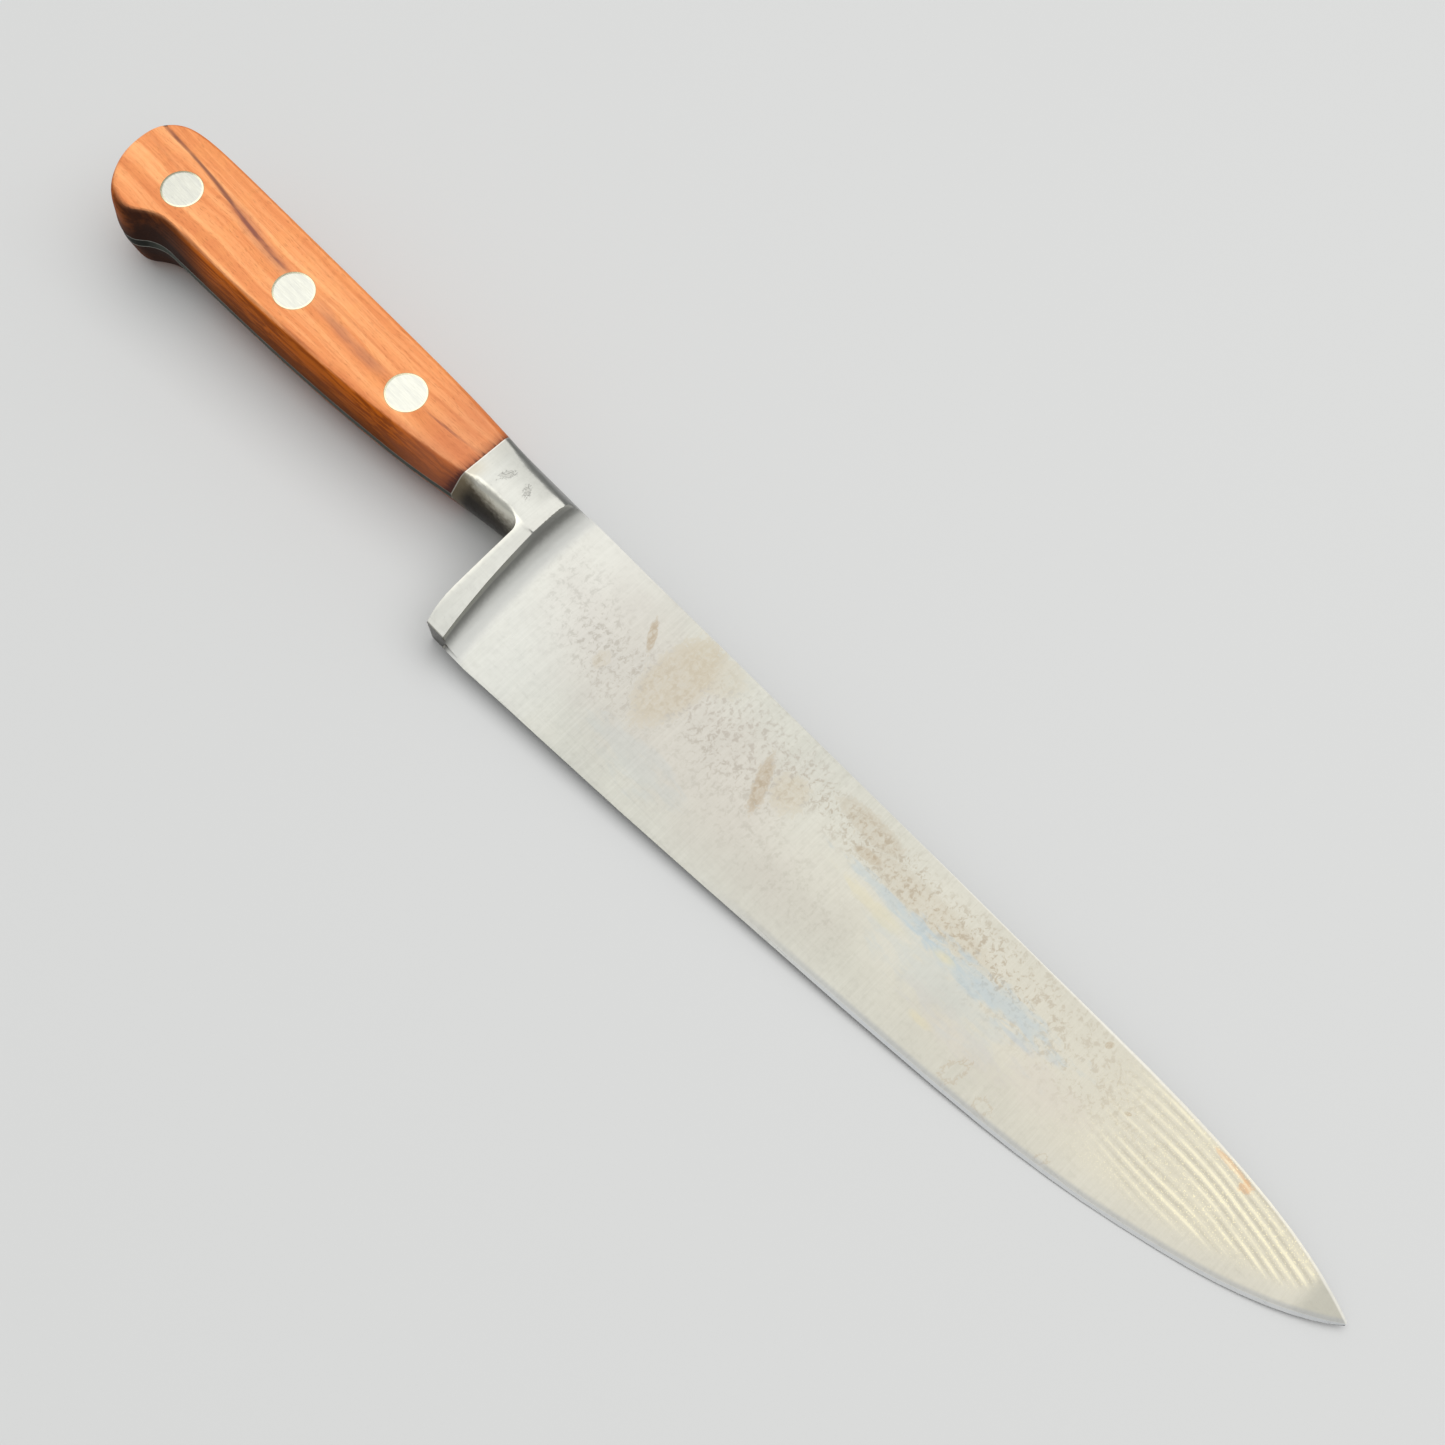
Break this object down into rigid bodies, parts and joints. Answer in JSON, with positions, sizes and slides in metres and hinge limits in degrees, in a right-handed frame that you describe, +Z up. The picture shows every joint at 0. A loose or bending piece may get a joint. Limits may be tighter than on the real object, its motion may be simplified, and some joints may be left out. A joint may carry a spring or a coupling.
{
  "type": "chef knife",
  "caption": "Full-tang chef knife: tapered pointed blade, forged bolster with finger guard, riveted wooden handle scales with a hooked butt, for cutting and chopping food.",
  "frame": {"origin": "Middle of the bounding box in length and width, at the lower flat face of the handle: the knife lies on its left side, with its mid-plane level.", "axes": "+X runs along the straight spine from the butt to the tip, +Y points from the edge to the spine, +Z is up, out of the right face of the knife."},
  "size_m": [0.3705, 0.0442, 0.02],
  "materials": {
    "forged_steel": "satin-ground carbon steel with patina",
    "scale_wood": "oiled satin fruitwood",
    "rivet_metal": "pale nickel silver, ground flush"
  },
  "bodies": {
    "root": {"blade_forging": "forged_steel", "right_scale": "scale_wood", "left_scale": "scale_wood", "rear_rivet_male": "rivet_metal", "rear_rivet_female": "rivet_metal", "middle_rivet_male": "rivet_metal", "middle_rivet_female": "rivet_metal", "front_rivet_male": "rivet_metal", "front_rivet_female": "rivet_metal"}
  },
  "joints": []
}
